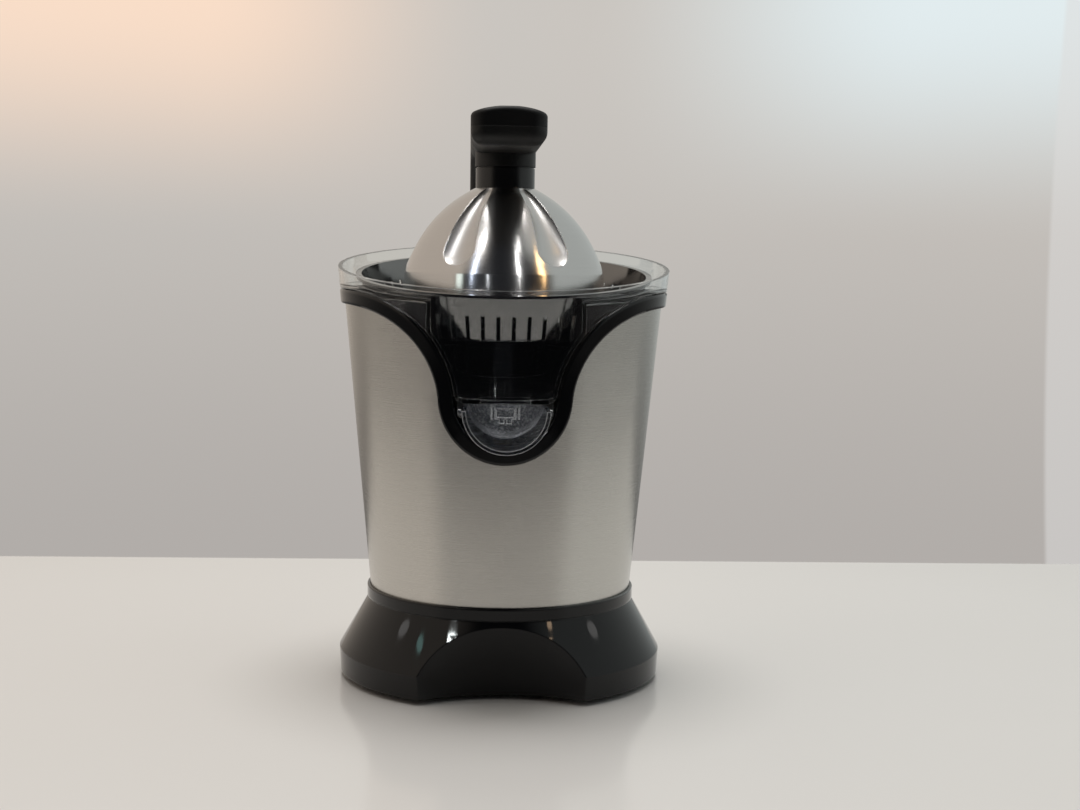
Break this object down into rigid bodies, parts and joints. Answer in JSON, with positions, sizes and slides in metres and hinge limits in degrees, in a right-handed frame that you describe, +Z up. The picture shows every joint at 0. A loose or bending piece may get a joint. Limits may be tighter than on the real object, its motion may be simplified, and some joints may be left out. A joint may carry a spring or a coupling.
{
  "type": "citrus juicer",
  "caption": "Electric lever citrus juicer: tapered steel body on a flared black base, clear slanted bowl with strainer and tilting spout, fluted press dome on a hinged arm.",
  "frame": {"origin": "on the table under the body's axis, midway between the outermost points", "axes": "+Z up along the body's axis; -Y towards the spout and the user; +X to the user's right"},
  "size_m": [0.2001, 0.236, 0.3375],
  "materials": {
    "gloss_black": "polished",
    "matte_black": "fine texture",
    "soft_black": "soft touch",
    "semi_black": "satin",
    "rubber": "matte",
    "clear": "clear plastic",
    "brushed_steel": "brushed",
    "zinc": "plated",
    "lamination": "varnished sheet stack",
    "aluminium": "die cast",
    "bronze": "sintered",
    "copper": "enamelled winding",
    "white_nylon": "moulded"
  },
  "bodies": {
    "body": {"base_shell": "gloss_black", "base_plate": "matte_black", "rubber_feet": "rubber", "base_screws": "zinc", "cord_gland": "rubber", "steel_sleeve": "brushed_steel", "upper_housing": "gloss_black", "bowl_cradle": "matte_black", "juice_bowl": "clear", "spout_catch": "clear", "strainer": "brushed_steel", "spindle_bushes": "bronze", "spindle_seal": "rubber", "idler_pin": "zinc", "gear_plate": "zinc", "gear_cover": "matte_black", "gear_screws": "zinc", "lower_posts": "zinc", "upper_posts": "zinc", "motor_stator": "lamination", "motor_coils": "copper", "motor_brackets": "aluminium", "motor_bearings": "bronze", "motor_bolts": "zinc", "press_spring": "zinc", "switch_body": "matte_black", "switch_pin": "zinc", "hinge_bushes": "bronze"},
    "lever": {"lever_arm": "semi_black", "lever_cover": "soft_black", "lever_screws": "zinc", "hinge_pin": "zinc", "dome_collar": "semi_black", "press_dome": "brushed_steel", "dome_screw": "zinc", "dome_washer": "zinc"},
    "spout": {"juice_spout": "clear"},
    "rotor": {"motor_rotor": "lamination", "motor_shaft": "zinc", "motor_pinion": "bronze", "motor_fan": "matte_black"},
    "idler": {"idler_gear": "white_nylon"},
    "output": {"output_gear": "white_nylon"},
    "press": {"drive_spindle": "zinc", "reamer_cone": "matte_black"},
    "switch": {"switch_lever": "white_nylon"}
  },
  "joints": [
    {"name": "lever_hinge", "type": "hinge", "parent": "body", "child": "lever", "pos_m": [0, 0.1105, 0.246], "axis": [-1, 0, 0], "range_deg": [0, 85]},
    {"name": "spout_tilt", "type": "hinge", "parent": "body", "child": "spout", "pos_m": [0, -0.087, 0.1685], "axis": [-1, 0, 0], "range_deg": [0, 20]},
    {"name": "motor_spin", "type": "hinge", "parent": "body", "child": "rotor", "pos_m": [0, 0.035, 0.065], "axis": [0, 0, 1], "continuous": true},
    {"name": "idler_spin", "type": "hinge", "parent": "body", "child": "idler", "pos_m": [0.03031, 0.0175, 0.115], "axis": [0, 0, 1], "continuous": true},
    {"name": "output_spin", "type": "hinge", "parent": "body", "child": "output", "pos_m": [0, 0, 0.126], "axis": [0, 0, 1], "continuous": true},
    {"name": "press_slide", "type": "slide", "parent": "output", "child": "press", "axis": [0, 0, -1], "range_m": [0, 0.0025], "stiffness_N_per_m": 400, "springref_m": -0.01, "deforming": ["press_spring"]},
    {"name": "switch_trip", "type": "hinge", "parent": "body", "child": "switch", "pos_m": [0, -0.019, 0.0958], "axis": [-1, 0, 0], "range_deg": [0, 6], "stiffness_Nm_per_rad": 0.000011, "springref_deg": -91.67}
  ],
  "couplings": [
    {"joint": "idler_spin", "follows": "motor_spin", "ratio": -0.25},
    {"joint": "output_spin", "follows": "motor_spin", "ratio": 0.0625},
    {"joint": "switch_trip", "follows": "press_slide", "rad_per_m": 40}
  ]
}
